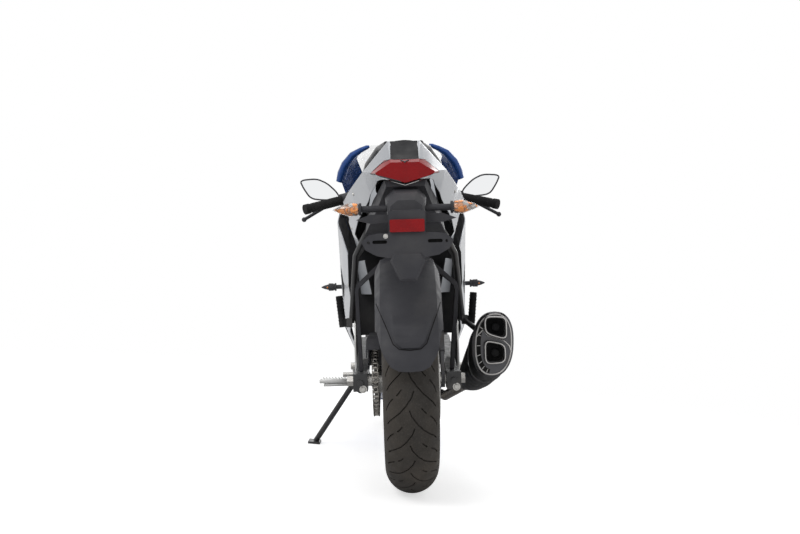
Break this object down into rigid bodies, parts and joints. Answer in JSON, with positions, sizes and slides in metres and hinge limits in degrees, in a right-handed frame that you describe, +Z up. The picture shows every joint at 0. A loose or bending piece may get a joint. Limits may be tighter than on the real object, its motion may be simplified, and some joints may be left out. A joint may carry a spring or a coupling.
{
  "type": "sport motorcycle",
  "caption": "Fully faired small sport motorcycle leaning on its side stand, with turning wheels, steering and a folding stand.",
  "frame": {"origin": "centre of the bounding box on the floor it stands on", "axes": "+Y forward along the machine, +X to its right, +Z up"},
  "size_m": [0.7724, 2.0386, 1.0949],
  "materials": {
    "tyre": "matt rubber",
    "wheel_paint": "satin black",
    "steel": "brushed",
    "chain_steel": "oiled",
    "dark_metal": "satin black",
    "dark_alloy": "satin dark grey",
    "alloy": "satin",
    "engine_alloy": "cast, satin",
    "exhaust_steel": "heat stained",
    "exhaust_black": "satin black",
    "chrome_trim": "polished",
    "spring_paint": "gloss",
    "silver_paint": "metallic silver",
    "blue_paint": "metallic blue",
    "black_plastic": "fine grain",
    "seat_vinyl": "grained",
    "red_lens": "clear red",
    "clear_lens": "clear",
    "screen": "clear",
    "mirror_glass": "polished",
    "rubber": "matt"
  },
  "bodies": {
    "chassis": {"belly_pan": "blue_paint", "chain": "chain_steel", "chain_guard": "black_plastic", "engine": "engine_alloy", "fairing_stay": "dark_metal", "foot_levers": "steel", "footrest_plates": "alloy", "fuel_tank": "silver_paint", "grab_rails": "dark_metal", "header_pipe": "exhaust_steel", "headlamp": "clear_lens", "headlamp_housing": "chrome_trim", "indicator_bodies": "black_plastic", "indicator_lenses": "clear_lens", "instrument_panel": "black_plastic", "main_frame": "dark_metal", "mirror_glass": "mirror_glass", "mirrors": "black_plastic", "muffler": "exhaust_black", "muffler_end_cap": "chrome_trim", "pillion_hangers": "dark_metal", "pillion_pegs": "rubber", "pillion_seat": "seat_vinyl", "radiator": "dark_alloy", "rear_axle": "steel", "rear_caliper": "dark_alloy", "rear_fender": "black_plastic", "rear_hugger": "black_plastic", "rear_reflector": "red_lens", "rider_pegs": "alloy", "rider_seat": "seat_vinyl", "shock_absorber": "spring_paint", "side_covers": "silver_paint", "side_fairings": "silver_paint", "sprocket_cover": "engine_alloy", "stand_bracket": "dark_metal", "swingarm": "dark_metal", "tail_cover": "black_plastic", "tail_lamp": "red_lens", "tail_panels": "silver_paint", "upper_cowl": "blue_paint", "windscreen": "screen"},
    "steering": {"fork_yokes": "dark_alloy", "fork_stanchions": "chrome_trim", "fork_sliders": "dark_alloy", "front_axle": "steel", "front_fender": "blue_paint", "front_caliper": "dark_alloy", "handlebars": "dark_metal", "grips": "rubber", "bar_controls": "black_plastic"},
    "front_wheel": {"front_tyre": "tyre", "front_rim": "wheel_paint", "front_disc": "steel"},
    "rear_wheel": {"rear_tyre": "tyre", "rear_rim": "wheel_paint", "rear_disc": "steel", "rear_sprocket": "steel"},
    "side_stand": {"side_stand": "dark_metal"}
  },
  "joints": [
    {"name": "rear_wheel_turn", "type": "hinge", "parent": "chassis", "child": "rear_wheel", "pos_m": [0.08187, -0.60631, 0.29829], "axis": [0.9925, 0, 0.1219], "continuous": true},
    {"name": "steering_turn", "type": "hinge", "parent": "chassis", "child": "steering", "pos_m": [0.08427, 0.69015, 0.2788], "axis": [-0.1105, -0.4226, 0.8996], "range_deg": [-30, 30]},
    {"name": "front_wheel_turn", "type": "hinge", "parent": "steering", "child": "front_wheel", "pos_m": [0.08236, 0.72369, 0.29432], "axis": [0.9925, 0, 0.1219], "continuous": true},
    {"name": "side_stand_fold", "type": "hinge", "parent": "chassis", "child": "side_stand", "pos_m": [-0.08688, -0.00631, 0.21208], "axis": [-0.8876, -0.0424, 0.4587], "range_deg": [0, 94]}
  ]
}
